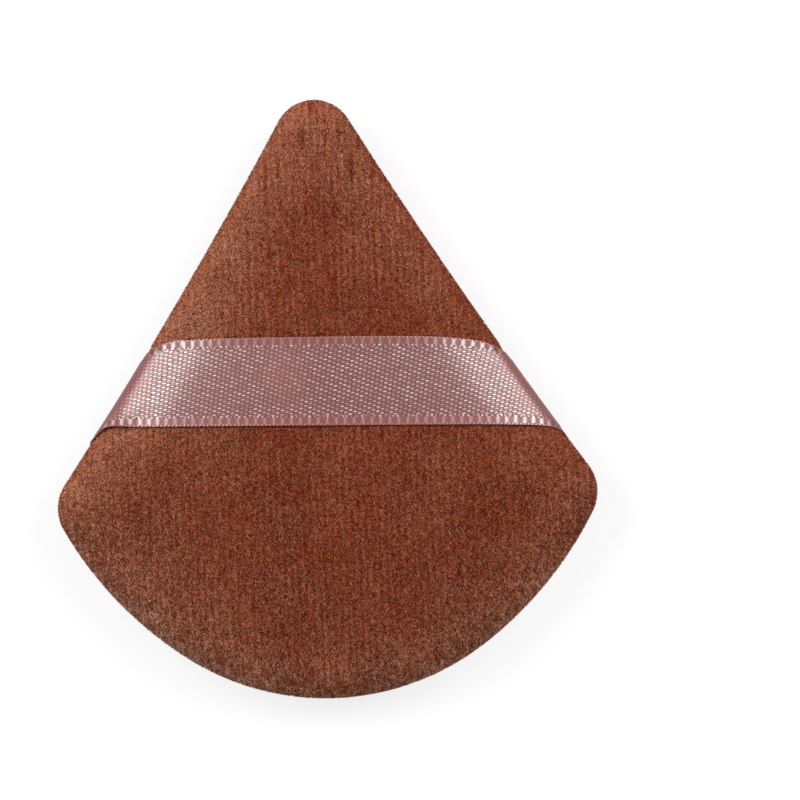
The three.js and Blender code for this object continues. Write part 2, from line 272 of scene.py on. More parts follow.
def linear(code):
    """An sRGB hex colour as a linear one."""
    channels = [int(code[at:at + 2], 16) / 255 for at in (1, 3, 5)]
    return [
        value / 12.92 if value <= 0.04045 else ((value + 0.055) / 1.055) ** 2.4
        for value in channels
    ] + [1]


def node(tree, kind, inputs=None, **settings):
    """A new node: its settings, and its inputs as values or as outputs to link to."""
    made = tree.nodes.new(kind)
    for name, value in settings.items():
        setattr(made, name, value)
    for socket, value in (inputs or {}).items():
        if isinstance(value, bpy.types.NodeSocket):
            tree.links.new(value, made.inputs[socket])
        else:
            made.inputs[socket].default_value = value
    return made


def new_material(name):
    """A material's node tree and its shader."""
    material = bpy.data.materials.new(name)
    material.use_nodes = True
    return material, material.node_tree, material.node_tree.nodes["Principled BSDF"]


# Open-cell polyurethane foam, cut with a die. Its surface is a mass of small open cells, which
# scatter the light, so it looks cream and fully matt; the dark in each cell's pit is painted shade.
foam_material, tree, shader = new_material("open_cell_foam")
foam_cell = 0.45 * mm
cell_depth = 0.1 * mm
place = node(tree, "ShaderNodeTexCoord").outputs["Object"]
cells = node(tree, "ShaderNodeTexVoronoi", {"Vector": place, "Scale": 1 / foam_cell})
# The cream darkens towards each cell's middle: painted shade in its pit.
foam_colour_and_pit_shade = node(
    tree, "ShaderNodeMix",
    {0: cells.outputs["Distance"], 6: linear("#c9b994"), 7: linear("#f3ead6")},
    data_type="RGBA")
tree.links.new(foam_colour_and_pit_shade.outputs[2], shader.inputs["Base Color"])
foam_bump = node(
    tree, "ShaderNodeBump",
    {"Height": cells.outputs["Distance"], "Strength": 0.6, "Distance": cell_depth})
tree.links.new(foam_bump.outputs[0], shader.inputs["Normal"])
shader.inputs["Roughness"].default_value = 0.9

core_rings = 44
core_crown_rings = 34
core_back_step = 3  # rings of the front to one of the back
core_depth = cover_thickness + fit_gap
groove_inset = 4.6 * mm  # a groove round its edge clears the seam allowances
groove_height = 1.75 * mm
core_edge_end = math.asin((groove_height - lip_rise) / (edge_rise - core_depth))
core_edge = np.linspace(edge_end, core_edge_end, core_rings + 1 - core_crown_rings)
core_crown = np.arange(core_crown_rings) / core_crown_rings
core_outside = np.vstack([
    crown_section(core_crown, core_depth), edge_section(core_edge, core_depth)])
rest_height = seam_level - core_depth  # the back is pressed flat where the puff rests
core_back = core_outside[:0:-core_back_step] * [1, 1, -1]
core_back[:, 2] = np.maximum(core_back[:, 2], -rest_height)
core_loops = np.vstack([
    [1, groove_inset, groove_height],
    [1, groove_inset, -groove_height],
    core_back,
])
core_places, core_faces = closed_skin(
    core_rings, 1, core_outside, core_loops, [*crown_centre, seam_level - rest_height])
foam_core = smooth(mesh_piece("foam_pad", core_places, core_faces))
foam_core.data.materials.append(foam_material)
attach(foam_core, "root")
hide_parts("foam_core")

# Velour covers. Two panels of knitted polyester velour, seamed together face to face and then
# turned through a gap in the base, so that the seam's allowance lies inside. The knit's wales
# run from the base to the apex. The ribbon, drawn tight over the front, presses its pile down.
seam_gap = 0.3 * mm
allowance_inset = 4.3 * mm
allowance_top = 0.85 * mm
ground_depth = 0.17 * mm  # the knit lies this far below the tips of its pile
crown_rings = 108
edge_rings = 24
lip_rings = 6
outside_rings = crown_rings + edge_rings + lip_rings
inside_edge_rings = 5
inside_crown_shares = np.array([0.75, 0.5, 0.25])

wale = 0.9 * mm
wale_relief = 0.015 * mm
knit_grain = np.array([0.7, 1.6, 1.6]) * mm
knit_relief = 0.01 * mm
dimple_size = 9 * mm  # soft unevenness of the stuffed puff
dimple_relief = 0.12 * mm
relief_fade = 3 * mm  # the relief starts at the rim and is full this far in

ribbon_width = 12 * mm
ribbon_centre = np.array([0, 2.5 * mm])
ribbon_skew = math.radians(-1.7)
ribbon_along = direction(ribbon_skew)
ribbon_across = np.array([-ribbon_along[1], ribbon_along[0]])
drawn_narrow = 0.2 * mm  # the pull takes this much of the ribbon's width at its middle
narrow_run = 25 * mm  # and twice as much this far to the left
upper_drawn = {-1: 1.4 * mm, 1: 2.0 * mm}  # towards the base, at the left rim and the right one
upper_reach = {-1: 2.0 * mm, 1: 3.3 * mm}
lower_drawn = {-1: 1.4 * mm, 1: 0.42 * mm}
lower_reach = {-1: 0.4 * mm, 1: 4.5 * mm}
slant_share = 0.84  # of a shift along the puff's slanting side, what goes across the ribbon
press_inset = 2.45 * mm
press_depth = 0.48 * mm
press_fall = 2.5 * mm  # the press dies away this far beside the ribbon
pile_press = 0.15 * mm
pile_press_fall = 0.5 * mm


def cloud(places, size, seed):
    """Soft noise from -1 to 1 at places, in blobs of about a size, or of a size each way."""
    side = 64  # blobs, after which the noise repeats
    table = np.random.default_rng(seed).uniform(-1, 1, (side, side, side))
    cells = np.floor(places / size).astype(int)
    shares = places / size - cells
    shares = shares**2 * (3 - 2 * shares)
    total = np.zeros(len(places))
    for step in np.ndindex(2, 2, 2):
        weights = np.prod(np.where(step, shares, 1 - shares), axis=1)
        x, y, z = ((cells + step) % side).T
        total += weights * table[x, y, z]
    return total


def from_rim(places, around):
    """How far places lie in from the rim, in plan, at their shares of the way round."""
    return np.linalg.norm(places[:, :2] - rim(around)[0], axis=1)


def hollow_centre(side):
    """The centre of the long arc of a side of the puff, -1 the left one and 1 the right one."""
    return hollow * [side, 1]


def drawn_down(inset, share, side):
    """How far a line of the ribbon is drawn towards the base, to meet the seam more squarely."""
    return (
        share * upper_drawn[side] * np.exp(-inset / upper_reach[side])
        + (1 - share) * lower_drawn[side] * np.exp(-inset / lower_reach[side]))


def ribbon_share(places):
    """Which line of the ribbon lies over places: 0 its lower edge, 1 its upper one."""
    from_middle = places[:, :2] - ribbon_centre
    narrow = drawn_narrow * (1 - from_middle @ ribbon_along / narrow_run)
    straight = (from_middle @ ribbon_across + ribbon_width / 2) / (ribbon_width - narrow)
    result = np.zeros(len(places))
    for side in (-1, 1):
        own = side * places[:, 0] >= 0
        inset = np.linalg.norm(places[own, :2] - hollow_centre(side), axis=1)
        inset = np.maximum(inset - hollow_radius, 0)
        lower = slant_share * drawn_down(inset, 0, side) / ribbon_width
        upper = slant_share * drawn_down(inset, 1, side) / ribbon_width
        result[own] = (straight[own] + lower) / (1 - upper + lower)
    return result


def beside_ribbon(places):
    """How far places lie outside the ribbon's edges, less than 0 below it."""
    return (abs(ribbon_share(places) - 0.5) - 0.5) * ribbon_width


def under_ribbon(places):
    """1 below the ribbon, falling to 0 beside it."""
    return np.clip(0.5 - beside_ribbon(places) / pile_press_fall, 0, 1)


def shoulder_press(inset):
    """How far the ribbon, drawn tight over the sides, presses the puff's shoulders in."""
    steps = np.maximum(inset, 0) / press_inset
    return press_depth * steps * np.exp((1 - steps**2) / 2)


def lip_section(angles, depth):
    """Section places over the lip, from the widest level at 0 in to the seam."""
    insets = lip_run - (lip_run - depth) * np.cos(angles)
    heights = lip_rise - (lip_rise - seam_gap / 2) * np.sin(angles)
    return np.column_stack([np.ones_like(angles), insets, heights])


def cover(name, side):
    """A velour panel as a closed skin, with its allowance turned in at the seam."""
    outside = np.vstack([
        crown_section(np.arange(crown_rings) / crown_rings, ground_depth),
        edge_section(np.linspace(edge_end, 0, edge_rings + 1), ground_depth),
        lip_section(np.linspace(0, math.pi / 2, lip_rings + 1)[1:], ground_depth),
    ])
    inside = np.vstack([
        edge_section(np.linspace(0, edge_end, inside_edge_rings), cover_thickness),
        crown_section(inside_crown_shares, cover_thickness),
    ])
    if side < 0:
        outside[:, 2] = np.minimum(outside[:, 2], seam_level - ground_depth)
        inside[:, 2] = np.minimum(inside[:, 2], seam_level - cover_thickness)
    loops = np.vstack([
        [1, allowance_inset, seam_gap / 2],
        [1, allowance_inset, allowance_top],
        [1, cover_thickness, allowance_top],
        inside,
    ])
    middle = [*crown_centre, seam_level + side * inside[-1, 2]]
    places, faces = closed_skin(outside_rings, side, outside, loops, middle)
    piece = smooth(mesh_piece(name, places, faces))
    around = ring_grid(outside_rings)[1]
    shown = len(around)
    normals = np.zeros(3 * len(places))
    piece.data.vertex_normals.foreach_get("vector", normals)
    relief = (
        wale_relief * np.cos(2 * math.pi * places[:, 0] / wale)
        + knit_relief * cloud(places, knit_grain, 1)
        + dimple_relief * cloud(places, dimple_size, 2)
    )
    inset = from_rim(places[:shown], around)
    relief[:shown] *= np.clip(inset / relief_fade, 0, 1)
    if side > 0:
        relief -= pile_press * under_ribbon(places)
    relief[shown:] = 0
    moved = places + relief[:, None] * normals.reshape(-1, 3)
    if side > 0:
        beside = np.maximum(beside_ribbon(places[:shown]), 0) / press_fall
        moved[:shown, 2] -= shoulder_press(inset) * np.exp(-(beside ** 2))
    moved[:, 2] = np.maximum(moved[:, 2], 0)
    piece.data.vertices.foreach_set("co", moved.ravel())
    piece.data.update()
    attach(piece, "root")
    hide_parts(name.replace("velour", "cover"))
    return piece


front = cover("front_velour", 1)
back = cover("back_velour", -1)

# Cut-pile polyester velour, sheared and brushed. The eye looks into the ends of its fibres, so
# it is matt, dark between them and lighter at their tips, with a faint sheen at its edges. A
# real fibre is too fine to show, so each tuft stands for many and gets a tone of its own, with
# painted shade at its root and painted light at its tip.
darkest_tuft = -0.23
lightest_tuft = 0.4
tuft_bias = 1.6  # more of the tufts are dark than light
# painted shade at each tuft's root and on the knit between the tufts, painted light at its tip
root_shade = 0.12
tip_light = 0.05


def velour(name, tones):
    """A velour whose tones run from dark to light, as positions and colours."""
    material, tree, shader = new_material(name)
    tuft = node(tree, "ShaderNodeNewGeometry").outputs["Random Per Island"]
    tone = node(tree, "ShaderNodeAttribute", attribute_name="tone").outputs["Fac"]
    tip = node(tree, "ShaderNodeAttribute", attribute_name="tip").outputs["Fac"]
    fewer_light = node(tree, "ShaderNodeMath", {0: tuft, 1: tuft_bias}, operation="POWER")
    own = node(
        tree, "ShaderNodeMapRange",
        {"Value": fewer_light.outputs[0], "To Min": darkest_tuft, "To Max": lightest_tuft})
    lit = node(
        tree, "ShaderNodeMapRange", {"Value": tip, "To Min": -root_shade, "To Max": tip_light})
    total = node(tree, "ShaderNodeMath", {0: tone, 1: own.outputs[0]}, operation="ADD")
    total = node(tree, "ShaderNodeMath", {0: total.outputs[0], 1: lit.outputs[0]}, operation="ADD")
    ramp = node(tree, "ShaderNodeValToRGB", {"Fac": total.outputs[0]})
    stops = ramp.color_ramp.elements
    while len(stops) < len(tones):
        stops.new(0.5)
    for stop, (at, code) in zip(stops, tones):
        stop.position = at
        stop.color = linear(code)
    tree.links.new(ramp.outputs["Color"], shader.inputs["Base Color"])
    shader.inputs["Roughness"].default_value = 0.8
    shader.inputs["Specular IOR Level"].default_value = 0.12
    shader.inputs["Sheen Weight"].default_value = 0.04
    shader.inputs["Sheen Roughness"].default_value = 0.4
    shader.inputs["Sheen Tint"].default_value = linear("#d8b09a")
    return material


front_material = velour("cut_pile_velour_front", [
    (0.05, "#561305"),
    (0.28, "#741f0a"),
    (0.45, "#8a3a1d"),
    (0.62, "#a96446"),
    (0.79, "#ca9378"),
    (0.96, "#eac6ae"),
])
back_material = velour("cut_pile_velour_back", [
    (0, "#4c1f0f"),
    (0.2, "#723a24"),
    (0.4, "#975c43"),
    (0.6, "#b78066"),
    (0.8, "#d0a18a"),
    (1, "#e4c3ae"),
])
front.data.materials.append(front_material)
back.data.materials.append(back_material)

# The pile. It is cut short and stands up from the knit in tufts that lean with the nap:
# towards the base on the front, and towards the base and +X on the back.
tuft_height = 0.18 * mm
tuft_width = 0.085 * mm  # from its middle out to a corner
tuft_width_shares = 0.8, 1.25  # least and most
tuft_sunk = 0.06 * mm  # its foot lies this deep in the knit
rim_height_share = 0.05  # how much heights vary at the rim
inner_height_share = 0.15  # and how much more further in
pressed_share = 0.75  # of a tuft's height, lost below the ribbon
loose_lean = 0.05 * mm  # of single tufts, in any direction
swirl_lean = 0.06 * mm  # of whole patches
swirl_size = 6 * mm
rim_lean_share = 0.35  # of the lean further in, so that the rim is even
even_rim = 2 * mm


def tufts(name, roots, normals, leans, heights, widths, tones, turns):
    """Closed three-sided spikes of pile, each standing on a root and leaning at its tip."""
    count = len(roots)
    # Of +X and +Y, one that is well off the normal.
    off_normal = np.where(abs(normals[:, :1]) < 0.7, [[1, 0, 0]], [[0, 1, 0]])
    first = np.cross(normals, off_normal)
    first /= np.linalg.norm(first, axis=1)[:, None]
    second = np.cross(normals, first)
    places = np.zeros((count, 4, 3))
    sunk = roots - tuft_sunk * normals
    for at in range(3):
        turn = turns + at * 2 * math.pi / 3
        out = np.cos(turn)[:, None] * first + np.sin(turn)[:, None] * second
        places[:, at] = sunk + widths[:, None] * out
    places[:, 3] = roots + heights[:, None] * normals + leans
    places[:, :, 2] = np.maximum(places[:, :, 2], 0)
    begin = 4 * np.arange(count)[:, None]
    corners = np.array([[0, 1, 3], [1, 2, 3], [2, 0, 3], [0, 2, 1]])
    faces = (begin[:, :, None] + corners[None]).reshape(-1, 3)
    piece = mesh_piece(name, places.reshape(-1, 3), [faces])
    tip = piece.data.attributes.new("tip", "FLOAT", "POINT")
    tip.data.foreach_set("value", np.tile(np.float32([0, 0, 0, 1]), count))
    tone = piece.data.attributes.new("tone", "FLOAT", "POINT")
    tone.data.foreach_set("value", np.repeat(tones, 4).astype(np.float32))
    return piece


def fading(distance, reach):
    """1 at no distance, falling smoothly towards 0 beyond a reach."""
    return np.exp(-((distance / reach) ** 2))


def facing(azimuth, degrees):
    """1 in a direction seen from the crown's middle, falling to 0 at a right angle to it."""
    return np.maximum(np.cos(azimuth - math.radians(degrees)), 0)


# The front's marks, some of them painted sheen, light or shade: their sizes across the puff,
# along it and in depth, and how far each one moves the tone up or down. A tone is a place on the
# velour's colours, from dark to light.
even_tone = 0.47
stroke, stroke_tone = np.array([0.2, 0.45, 0.45]) * mm, 0.03
column, column_tone = np.array([0.33, 1.4, 1.4]) * mm, 0.045
clump, clump_tone = np.array([0.45, 0.8, 0.8]) * mm, 0.12
streak, streak_tone = np.array([0.5, 5, 5]) * mm, 0.3
streak_floor = 0.35  # of the noise that makes the streaks, which leaves only a few of them
blotch, blotch_tone = 5 * mm, 0.02
wander, wander_tone = np.array([5, 9, 9]) * mm, 0.02
wale_tone = 0.045
wale_wander = 1.5  # how far the wales wander from straight lines, as an angle of their wave
shoulder_sheen_band, shoulder_sheen_tone = 7.5 * mm, 0.16  # painted sheen, in bands that lie along the rim and go this far in
shoulder_sheen_bearing = 140  # degrees from +X round the crown's middle
# painted sheen in bands along the rim towards both lower corners
low_sheen_band, low_sheen_tone = 6.5 * mm, 0.07
low_sheen_bearings = 235, 310
clump_band = 4.5 * mm
# painted sheen at the very rim near the base, and painted shade at the very rim elsewhere
base_sheen_band, base_sheen_tone = 1.0 * mm, 0.15
rim_shade_band, rim_shade_tone = 1.3 * mm, 0.1
# painted light: the velour grows lighter towards the apex and towards the left, where the stronger
# lamp stands
upper_run, apex_light_tone = 40 * mm, 0.08  # runs start at the middle of the puff
left_run, left_light_tone = 30 * mm, 0.05
lower_run = 25 * mm


def front_tones(roots, inset):
    """The front's tone: upright strokes in wales, with painted sheen along the rim, painted light
    towards the apex and the left, and painted shade at the very rim away from the base.
    """
    strokes = cloud(roots, stroke, 21)
    blotches = cloud(roots, blotch, 22)
    wanders = cloud(roots, wander, 23)
    streaks = np.clip(cloud(roots, streak, 24) - streak_floor, 0, 1)
    clumps = cloud(roots, clump, 25)
    columns = cloud(roots, column, 26)
    wales = np.cos(2 * math.pi * roots[:, 0] / wale + wale_wander * wanders)
    wales *= 0.6 + 0.4 * blotches
    from_middle = roots[:, :2] - crown_centre
    azimuth = np.arctan2(from_middle[:, 1], from_middle[:, 0])
    # painted sheen along the rim, strongest at the upper left and towards the lower corners
    shoulder_sheen = 0.3 + 0.7 * facing(azimuth, shoulder_sheen_bearing) ** 3
    shoulder_sheen *= fading(inset, shoulder_sheen_band)
    low = sum(facing(azimuth, degrees) ** 4 for degrees in low_sheen_bearings) * fading(inset, low_sheen_band)
    rising = np.clip(roots[:, 1] / upper_run, 0, 1)
    lowering = np.clip(-roots[:, 1] / lower_run, 0, 1)
    leftward = np.clip(-roots[:, 0] / left_run, 0, 1)
    return (
        even_tone + stroke_tone * strokes + column_tone * columns + wale_tone * wales
        + blotch_tone * blotches + wander_tone * wanders - streak_tone * streaks * rising
        + shoulder_sheen_tone * shoulder_sheen + low_sheen_tone * low
        # painted light towards the apex and the left
        + apex_light_tone * rising**2 + left_light_tone * leftward
        + clump_tone * lowering * clumps * fading(inset, clump_band)
        # painted sheen at the very rim near the base, painted shade at the very rim elsewhere
        + base_sheen_tone * lowering**4 * np.exp(-inset / base_sheen_band)
        - rim_shade_tone * (1 - lowering**2) * np.exp(-inset / rim_shade_band))


# The back's marks. Its strokes slant, and the more so the nearer they are to the apex.
back_even_tone = 0.56
back_stroke, back_stroke_tone = np.array([0.25, 0.5, 0.5]) * mm, 0.34
back_grain, back_grain_tone = 0.25 * mm, 0.08
back_blotch_tone = 0.03
back_band, back_band_tone = 5 * mm, 0.07
stroke_slope = 0.4  # sideways for each step up, at the middle of the puff
stroke_slope_run = 200 * mm


def back_tones(roots, inset):
    """The back's tone: short slanting strokes, grainy, and a little lighter towards the rim."""
    sheared = roots.copy()
    sheared[:, 0] -= (stroke_slope + roots[:, 1] / stroke_slope_run) * roots[:, 1]
    strokes = cloud(sheared, back_stroke, 31)
    grain = cloud(roots, back_grain, 32)
    blotches = cloud(roots, blotch, 33)
    return (
        back_even_tone + back_stroke_tone * strokes + back_grain_tone * grain
        + back_blotch_tone * blotches + back_band_tone * np.exp(-inset / back_band))


def pile(name, carrier, side, count, parts, nap, tones_at, seed, material):
    """Tufts spread evenly over a cover's outside, in parts from the apex down to the base."""
    generator = np.random.default_rng(seed)
    mesh = carrier.data
    places = np.zeros(3 * len(mesh.vertices))
    mesh.vertices.foreach_get("co", places)
    places = places.reshape(-1, 3)
    _, around, quads = ring_grid(outside_rings)
    shown = len(around)
    if side < 0:
        quads = quads[:, ::-1]
    corners = places[quads]
    normals = np.cross(corners[:, 2] - corners[:, 0], corners[:, 3] - corners[:, 1])
    areas = np.linalg.norm(normals, axis=1) / 2
    normals /= 2 * areas[:, None]
    chosen = generator.choice(len(quads), count, p=areas / areas.sum())
    chosen = chosen[np.argsort(-corners[chosen, 0, 1], kind="stable")]
    u, v = generator.uniform(0, 1, (2, count, 1))
    picked = corners[chosen]
    roots = (
        (1 - u) * (1 - v) * picked[:, 0] + u * (1 - v) * picked[:, 1]
        + u * v * picked[:, 2] + (1 - u) * v * picked[:, 3])
    normals = normals[chosen]
    inset = from_rim(roots, around[quads[chosen, 0]])
    pressed = under_ribbon(roots) if side > 0 else np.zeros(count)
    inner = np.clip(inset / even_rim, 0, 1)
    height_shares = rim_height_share + inner_height_share * inner
    heights = tuft_height * (1 + height_shares * generator.normal(0, 1, count))
    heights *= 1 - pressed_share * pressed
    widths = tuft_width * generator.uniform(*tuft_width_shares, count)
    swirl = np.stack([cloud(roots, swirl_size, seed + further) for further in (1, 2)], axis=1)
    lean_shares = rim_lean_share + (1 - rim_lean_share) * inner[:, None]
    leans = generator.normal(0, loose_lean, (count, 3)) * lean_shares
    leans[:, :2] += (np.array(nap) + swirl_lean * swirl) * lean_shares
    leans -= (leans * normals).sum(axis=1)[:, None] * normals
    turns = generator.uniform(0, 2 * math.pi, count)
    tones = tones_at(roots, inset)
    ground_tones = np.zeros(len(places))
    ground_tones[:shown] = tones_at(places[:shown], from_rim(places[:shown], around))
    ground = mesh.attributes.new("tone", "FLOAT", "POINT")
    ground.data.foreach_set("value", ground_tones.astype(np.float32))
    for part in range(parts):
        own = slice(part * count // parts, (part + 1) * count // parts)
        piece = tufts(
            f"{name}_{part + 1}", roots[own], normals[own], leans[own], heights[own],
            widths[own], tones[own], turns[own])
        piece.data.materials.append(material)
        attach(piece, "root")


pile(
    "front_pile", front, 1, count=210000, parts=5, nap=(0.02 * mm, -0.23 * mm),
    tones_at=front_tones, seed=11, material=front_material)
pile(
    "back_pile", back, -1, count=100000, parts=2, nap=(0.16 * mm, -0.2 * mm),
    tones_at=back_tones, seed=12, material=back_material)

# Seam threads. Spun polyester sewing thread in the brown of the velour: a lockstitch round the
# puff, and a hand stitch that closes the gap in the base. Its short staple fibres make it matt,
# and its two plies show as slanting bands, drawn coarser than a real thread's; the darker part of
# each band is painted shade in the groove between the plies.
thread_material, tree, shader = new_material("spun_polyester_thread")
ply = 0.35 * mm
ply_depth = 0.05 * mm
place = node(tree, "ShaderNodeTexCoord").outputs["Object"]
twist = node(
    tree, "ShaderNodeTexWave",
    {"Vector": place, "Scale": 1 / (2 * math.pi * ply), "Distortion": 1.5},
    bands_direction="DIAGONAL")
# the thread's brown, with painted shade in the grooves between its plies
thread_colour_and_ply_shade = node(
    tree, "ShaderNodeMix", {0: twist.outputs[1], 6: linear("#4a2415"), 7: linear("#8a5238")},
    data_type="RGBA")
tree.links.new(thread_colour_and_ply_shade.outputs[2], shader.inputs["Base Color"])
thread_bump = node(
    tree, "ShaderNodeBump", {"Height": twist.outputs[1], "Strength": 0.5, "Distance": ply_depth})
tree.links.new(thread_bump.outputs[0], shader.inputs["Normal"])
shader.inputs["Roughness"].default_value = 0.7
for name in ("seam_needle_thread", "seam_bobbin_thread", "closing_thread"):
    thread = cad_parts[name]
    thread.data.materials.clear()
    thread.data.materials.append(thread_material)

# Ribbon strap. One length of 12 mm polyester satin ribbon, laid flat over the front, round
# both sides and in between the covers. Its selvedges are woven in ribs that keep it from fraying.
ribbon_gap = 0.15 * mm  # between the front cover and the ribbon
ribbon_body = 0.22 * mm
ribbon_level = ribbon_gap + ribbon_body / 2
tail_inset = 4.0 * mm
sunk_side = 0.33 * mm  # the ribbon sinks into the pile where it goes over the side
sunk_selvedge = 0.1 * mm  # and its selvedges sink this much more
sunk_reach = 1.5 * mm
loose_corner = 0.7 * mm  # its lower left corner stands off the puff
loose_inset = 1.7 * mm
loose_fall = 7  # how quickly that dies away towards its upper edge
sharp_angle = math.radians(80)
rows = 240
crown_columns = 280
edge_columns = 80
lip_columns = 12
tail_columns = 8
coarse = 4  # rows and columns of the face to one of the underside
section_edge_steps = 200
section_lip_steps = 79
spoke_count = 4000

# The weave, a 5-end satin. On each weft thread one warp thread in five shows as a light float,
# and on the next weft thread the floats lie two warp threads on. The filaments that the threads
# are made of are too fine to show, and are left out.
pick = 0.605 * mm  # from one weft thread to the next
warp = 0.116 * mm  # from one warp thread to the next
weft_skew = 0.13  # of the weft, from square to the warp
satin_ends = 5
satin_step = 2
float_length = 0.58 * mm
float_width = 0.25 * mm
weft_length = 0.4 * mm
weft_width = 0.2 * mm
thread_end = 0.08 * mm  # over which a thread dips out of sight
float_relief = 0.01 * mm
gap_tone = 0.08
float_tone = 0.56
float_tone_spread = 0.36
weft_tone = 0.42
underside_tone = 0.3

# The selvedges: ribs across each, a row of uneven stitches along its inner side and the weft's
# small loops along its outer edge. The ribs stand out towards the rim, where the ribbon is taut:
# their relief grows there, and they get a painted highlight, with painted shade between them.
selvedge = 1.2 * mm
selvedge_rib = 1.19 * mm
rib_relief = 0.07 * mm
slack_rib_share = 0.15  # of a rib's height, left where the ribbon is slack
selvedge_tone = 0.27
selvedge_tilt_light_tone = 0.05  # painted light and shade: lighter at the lower edge, darker at the upper one
slack_line_tone = 0.4
taut_rib_highlight_tone = 0.85
taut_gap_shade_tone = -0.22
taut_reach = 4 * mm
flat_reach = 1.2 * mm  # over the rim itself the ribs are pressed flat
stitch_pitch = 0.62 * mm
stitch_half = 0.14 * mm
stitch_relief = 0.035 * mm
stitch_least_tone = 0.12
edge_loop = 0.52 * mm
loop_width = 0.22 * mm
loop_tone = 0.2
loop_tone_spread = 0.4

# Where the pull and the fold change the tones: near the rim the weave closes up, and is painted
# lighter there, a painted sheen; over the rim it is painted darker, a painted shade where it turns
# from the light; and a patch left of the middle lies slack.
tight_reach, tight_sheen_tone, tight_share = 1.8 * mm, 0.64, 0.55
over_reach, over_shade_tone, over_share = 0.8 * mm, 0.16, 0.85
slack_along, slack_across = -5 * mm, 1.2 * mm
slack_run, slack_rise = 2.5 * mm, 4 * mm
slack_tone, slack_share = 0.5, 0.3


def scattered(column, line):
    """A share from 0 to 1 for each column and line, in no order that shows."""
    return np.mod(np.sin(12.99 * column + 78.2 * line) * 437.5, 1)


def thread_crest(from_middle, width):
    """1 along the middle of a round thread, falling to 0 near its edges."""
    return np.clip(1.5 - 1.5 * (2 * from_middle / width) ** 2, 0, 1)


def thread_run(from_middle, length):
    """1 along a thread's visible length, falling to 0 where it dips at both ends."""
    return np.clip((length / 2 - abs(from_middle)) / thread_end, 0, 1)


def satin(along, across):
    """A 5-end satin's relief and tone: light floats, the weft between them and dark gaps."""
    along = along - weft_skew * across
    column = np.round(along / pick)
    x = along - pick * column
    repeat = satin_ends * warp
    y = across + column * satin_step * warp
    line = np.round(y / repeat)
    y = abs(y - repeat * line)
    floats = thread_crest(y, float_width) * thread_run(x, float_length)
    between = thread_crest(repeat / 2 - y, weft_width) * thread_run(x, weft_length)
    shade = float_tone + float_tone_spread * scattered(column, line)
    return float_relief * floats, gap_tone + floats * shade + weft_tone * between


def weave(along, across, inset):
    """Relief in metres, and tone from 0 to 1, of the ribbon's face."""
    from_edge = ribbon_width / 2 - abs(across)
    inset = np.maximum(inset, 0)
    relief, tone = satin(along, across)
    slack = slack_share * fading(along - slack_along, slack_run)
    slack *= fading(across - slack_across, slack_rise)
    tone = tone + slack * (slack_tone - tone)
    # painted sheen: the tone is drawn lighter near the rim
    tone = tone + tight_share * np.exp(-inset / tight_reach) * (tight_sheen_tone - tone)

    taut = np.exp(-inset / taut_reach)
    rib = 0.5 - 0.5 * np.cos(2 * math.pi * along / selvedge_rib)
    line = rib**4
    rib = rib**2 * (3 - 2 * rib)
    rib_height = rib_relief * rib * (slack_rib_share + (1 - slack_rib_share) * taut)
    rib_height *= 1 - fading(inset, flat_reach)
    rib_tone = (
        # painted light at the lower selvedge, painted shade at the upper one
        selvedge_tone - selvedge_tilt_light_tone * np.sign(across)
        # painted highlight on the ribs and painted shade between them, where the ribbon is taut
        + slack_line_tone * line * (1 - taut) + taut * (taut_rib_highlight_tone * rib + taut_gap_shade_tone))
    in_selvedge = from_edge < selvedge
    relief = np.where(in_selvedge, rib_height, relief)
    tone = np.where(in_selvedge, rib_tone, tone)

    uneven = along / stitch_pitch + 0.2 * np.sin(1.3 * along / stitch_pitch)
    stitch = np.clip(0.7 + 1.2 * np.sin(2 * math.pi * uneven), stitch_least_tone, 1)
    stitch *= 0.7 + 0.2 * np.sin(1.7 * along / stitch_pitch)
    in_stitches = abs(from_edge - selvedge) < stitch_half
    relief = np.where(in_stitches, stitch_relief * stitch, relief)
    tone = np.where(in_stitches, stitch, tone)

    loop = 0.5 + 0.5 * np.sin(2 * math.pi * (along + 0.5 * abs(across)) / edge_loop)
    in_loops = from_edge < loop_width
    relief = np.where(in_loops, stitch_relief * loop, relief)
    tone = np.where(in_loops, loop_tone + loop_tone_spread * loop, tone)
    # painted shade: the tone is drawn darker over the rim
    return relief, tone + over_share * fading(inset, over_reach) * (over_shade_tone - tone)


def side_section():
    """The ribbon's middle over the side of the puff: insets, heights, normals and runs."""
    edge = np.linspace(edge_end, 0, section_edge_steps)
    lip = np.linspace(0, math.pi / 2, section_lip_steps + 1)[1:]
    insets = np.concatenate([
        edge_run - (edge_run + ribbon_level) * np.cos(edge),
        lip_run - (lip_run + ribbon_level) * np.cos(lip),
        [tail_inset],
    ])
    heights = np.concatenate([
        lip_rise + (edge_rise + ribbon_level) * np.sin(edge),
        lip_rise - lip_rise * np.sin(lip),
        [0],
    ])
    out_steps, up_steps = -np.gradient(insets), np.gradient(heights)
    sizes = np.hypot(out_steps, up_steps)
    runs = np.concatenate([[0], np.cumsum(np.hypot(np.diff(insets), np.diff(heights)))])
    start = ribbon_level * math.cos(edge_end)
    return insets, heights, -up_steps / sizes, out_steps / sizes, runs + start


def distance_at_run(across, run, side):
    """How far along the ribbon a line of it has gone a run past the crown's edge."""
    start = ribbon_centre + across[..., None] * ribbon_across
    to_centre = hollow_centre(side) - start
    ahead = side * to_centre @ ribbon_along
    radius = hollow_radius + edge_inset - run
    square = ahead**2 - (to_centre**2).sum(axis=-1) + radius**2
    return side * (ahead - np.sqrt(square))


def crown_share(flat):
    """The share of the way from the crown's middle to its edge at which places lie."""
    places, normals = rim(np.linspace(0, 1, spoke_count + 1)[:-1])
    spokes = places - edge_inset * normals - crown_centre
    angles = np.arctan2(spokes[:, 1], spokes[:, 0])
    order = np.argsort(angles)
    lengths = np.linalg.norm(spokes, axis=1)
    from_centre = flat - crown_centre
    own = np.arctan2(from_centre[..., 1], from_centre[..., 0])
    edge = np.interp(own, angles[order], lengths[order], period=2 * math.pi)
    return np.linalg.norm(from_centre, axis=-1) / edge


